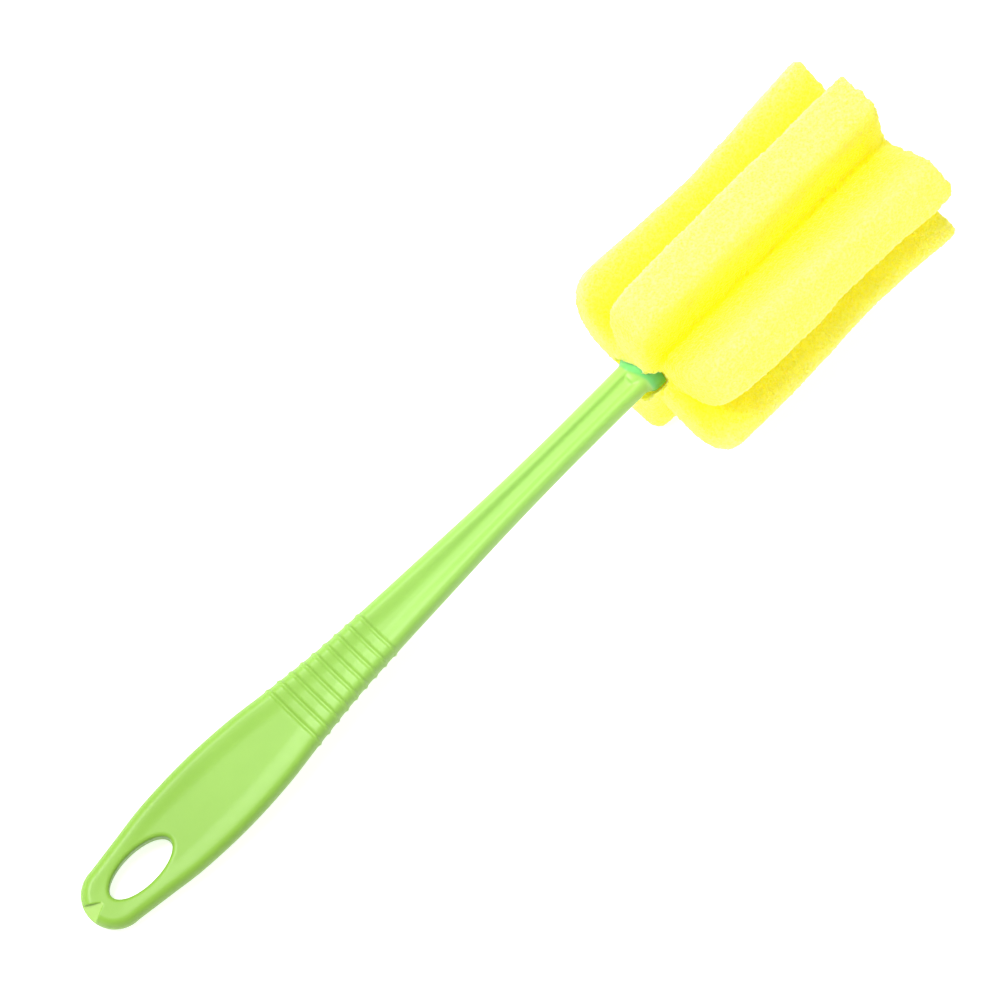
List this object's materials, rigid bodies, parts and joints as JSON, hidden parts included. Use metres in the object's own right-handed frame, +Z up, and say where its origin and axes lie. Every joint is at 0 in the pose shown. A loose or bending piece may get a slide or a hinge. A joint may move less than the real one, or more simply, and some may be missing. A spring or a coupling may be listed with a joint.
{
  "type": "long-handled foam sponge brush",
  "caption": "Long flat plastic handle with a hang hole, a ribbed grip and a flared collar that carries a six-lobed foam head for washing bottles and cups.",
  "frame": {"origin": "on the table under the middle of the brush's box, with the brush lying as it rests: on its tail and on two lobes of its head", "axes": "+X from the handle's tail towards the foam head, +Y across the handle, +Z up, out of the handle's front face. The brush's own axis is tilted head up from X by 6.959 degrees"},
  "size_m": [0.2612, 0.054, 0.0595],
  "materials": {
    "handle_plastic": "satin",
    "core_plastic": "satin",
    "foam": "matte",
    "cap_plastic": "satin"
  },
  "bodies": {
    "root": {"handle": "handle_plastic", "foam_spindle": "core_plastic", "foam_head": "foam", "end_cap": "cap_plastic"}
  },
  "joints": []
}
